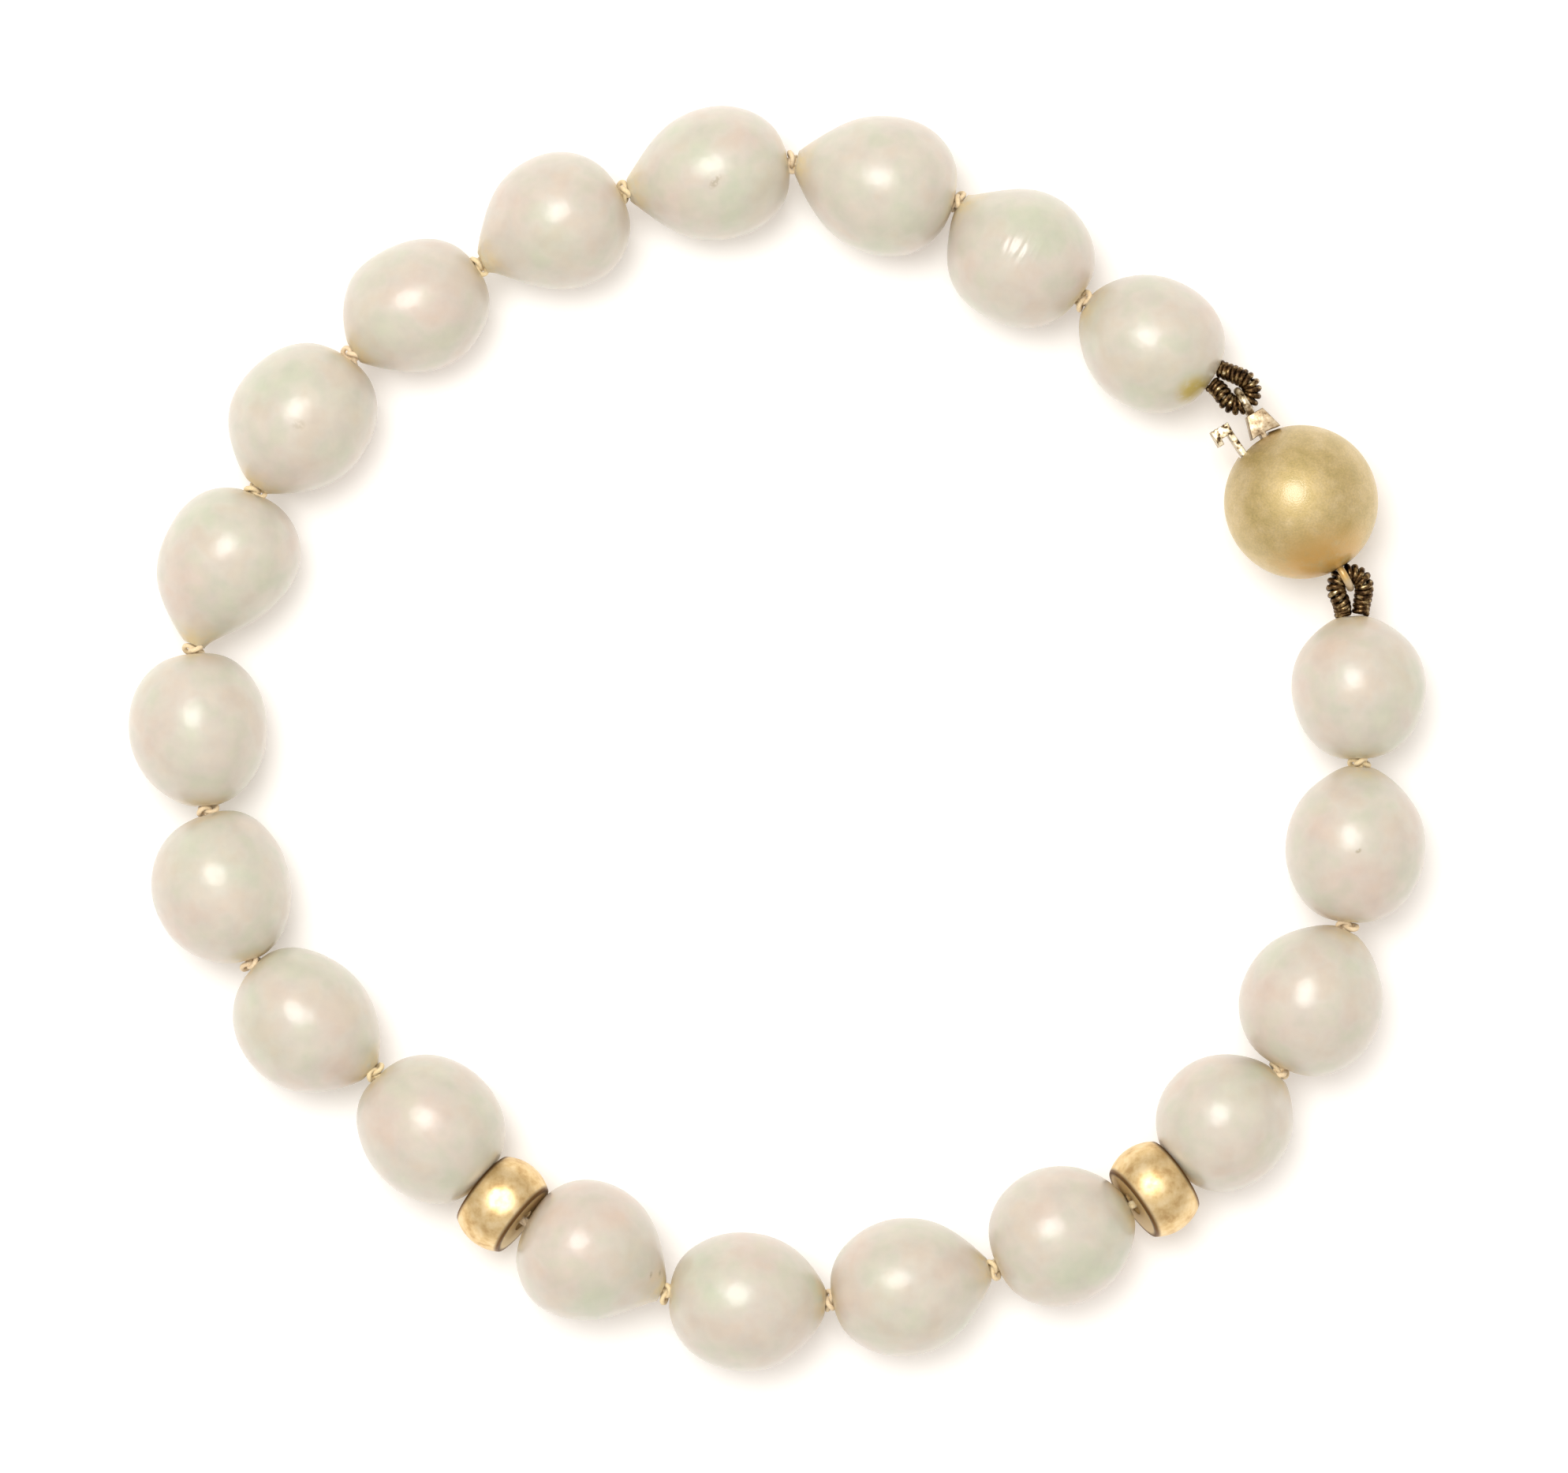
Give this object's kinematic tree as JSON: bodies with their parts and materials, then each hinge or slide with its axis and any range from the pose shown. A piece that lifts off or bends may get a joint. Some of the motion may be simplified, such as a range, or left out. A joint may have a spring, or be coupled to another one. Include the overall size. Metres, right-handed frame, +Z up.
{
  "type": "pearl bracelet",
  "caption": "Closed single-strand bracelet of drop-shaped pearls knotted on silk, with gold rondelles and a gold ball clasp.",
  "frame": {"origin": "on the surface that the bracelet lies on, under the middle of the loop's box", "axes": "+Z up from that surface, +X along the loop's longest side, towards the side with the clasp"},
  "size_m": [0.0676, 0.0658, 0.008],
  "materials": {
    "nacre": "gloss",
    "polished_gold": "polished",
    "satin_gold": "satin",
    "silk": "matte",
    "tarnished_wire": "satin"
  },
  "bodies": {
    "bracelet": {"pearl_01": "nacre", "pearl_02": "nacre", "pearl_03": "nacre", "pearl_04": "nacre", "pearl_05": "nacre", "pearl_06": "nacre", "pearl_07": "nacre", "pearl_08": "nacre", "pearl_09": "nacre", "pearl_10": "nacre", "pearl_11": "nacre", "pearl_12": "nacre", "pearl_13": "nacre", "pearl_14": "nacre", "pearl_15": "nacre", "pearl_16": "nacre", "pearl_17": "nacre", "pearl_18": "nacre", "pearl_19": "nacre", "pearl_20": "nacre", "rondelle_1": "polished_gold", "rondelle_2": "polished_gold", "silk_thread": "silk", "clasp_ball": "satin_gold", "clasp_tongue": "polished_gold", "wire_sleeve_1": "tarnished_wire", "wire_sleeve_2": "tarnished_wire"},
    "thumb_leaf": {"clasp_thumb_leaf": "polished_gold"}
  },
  "joints": [
    {"name": "thumb_leaf_press", "type": "hinge", "parent": "bracelet", "child": "thumb_leaf", "pos_m": [0.02734, 0.01051, 0.004], "axis": [0, 0, 1], "range_deg": [-4.5, 0], "stiffness_Nm_per_rad": 0.01}
  ]
}
